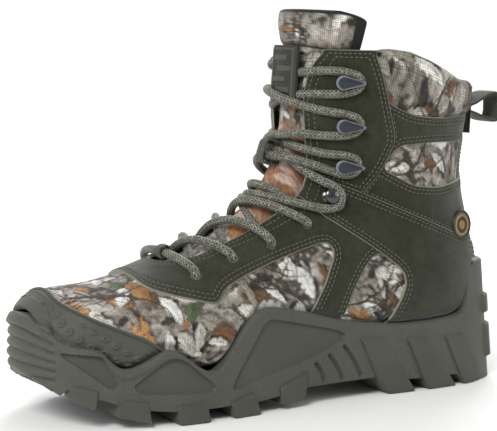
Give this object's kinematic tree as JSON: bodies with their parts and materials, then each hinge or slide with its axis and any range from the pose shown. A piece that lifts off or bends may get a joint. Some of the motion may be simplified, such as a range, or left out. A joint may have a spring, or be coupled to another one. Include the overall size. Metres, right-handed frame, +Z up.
{
  "type": "insulated hunting boot",
  "caption": "Tall lace-up insulated boot for hunting: lugged rubber cup sole, printed fabric and suede upper, padded collar, tongue, hooks, lace and heel pull loop.",
  "frame": {"origin": "on the ground under the middle of the heel seat, on the flat bottom of a heel lug", "axes": "+Z up, toe towards -X, heel towards +X, lateral side towards -Y, as on a left boot"},
  "size_m": [0.3239, 0.1115, 0.228],
  "materials": {
    "suede": "brushed suede, dark olive",
    "camo_fabric": "printed plain-weave polyester, leaf and twig print",
    "rubber": "moulded rubber, matte olive grey",
    "foam": "compression-moulded foam",
    "spring_steel": "plain",
    "fibre_board": "pressed fibre board",
    "felt": "needled felt",
    "insulation": "lofted polyester batting",
    "lining_mesh": "knitted black lining",
    "stiffener": "thermoplastic sheet",
    "lace_cord": "round braided polyester with pale flecks",
    "aglet_plastic": "heat-shrunk tube",
    "hook_metal": "dark coated steel",
    "rivet_metal": "black coated steel",
    "webbing": "woven polyester webbing",
    "label_rubber": "soft moulded rubber",
    "badge_rubber": "soft moulded rubber"
  },
  "bodies": {
    "root": {"aglets": "aglet_plastic", "ankle_badges": "badge_rubber", "ankle_band": "suede", "ankle_hooks": "rivet_metal", "ankle_window_lateral": "camo_fabric", "ankle_window_medial": "camo_fabric", "collar_camo": "camo_fabric", "collar_foam": "foam", "eyestay": "suede", "heel_counter": "stiffener", "heel_overlay": "suede", "hook_flap_lateral": "suede", "hook_flap_medial": "suede", "hook_rivets": "rivet_metal", "insole_board": "fibre_board", "insulation_back": "insulation", "insulation_front": "insulation", "insulation_lateral": "insulation", "insulation_medial": "insulation", "lace": "lace_cord", "lace_hooks": "hook_metal", "lace_keepers": "webbing", "lining": "lining_mesh", "midsole": "foam", "outsole": "rubber", "pull_loop_tab": "webbing", "shank": "spring_steel", "side_window_lateral": "camo_fabric", "side_window_medial": "camo_fabric", "thermal_felt": "felt", "toe_guard": "rubber", "toe_puff": "stiffener", "tongue": "camo_fabric", "tongue_label": "label_rubber", "vamp": "camo_fabric"},
    "pull_loop": {"pull_loop": "webbing"},
    "tongue_top": {"tongue_top": "camo_fabric"},
    "footbed": {"footbed": "foam"}
  },
  "joints": [
    {"name": "pull_loop_swing", "type": "hinge", "parent": "root", "child": "pull_loop", "pos_m": [0.0466, 0, 0.167], "axis": [0, 1, 0], "range_deg": [-40, 50], "stiffness_Nm_per_rad": 0.05},
    {"name": "tongue_top_flex", "type": "hinge", "parent": "root", "child": "tongue_top", "pos_m": [-0.072, 0, 0.208], "axis": [0, -1, 0], "range_deg": [-8, 30], "stiffness_Nm_per_rad": 0.15},
    {"name": "footbed_lift", "type": "hinge", "parent": "root", "child": "footbed", "pos_m": [-0.228, 0, 0.04], "axis": [0, -1, 0], "range_deg": [0, 5]}
  ]
}
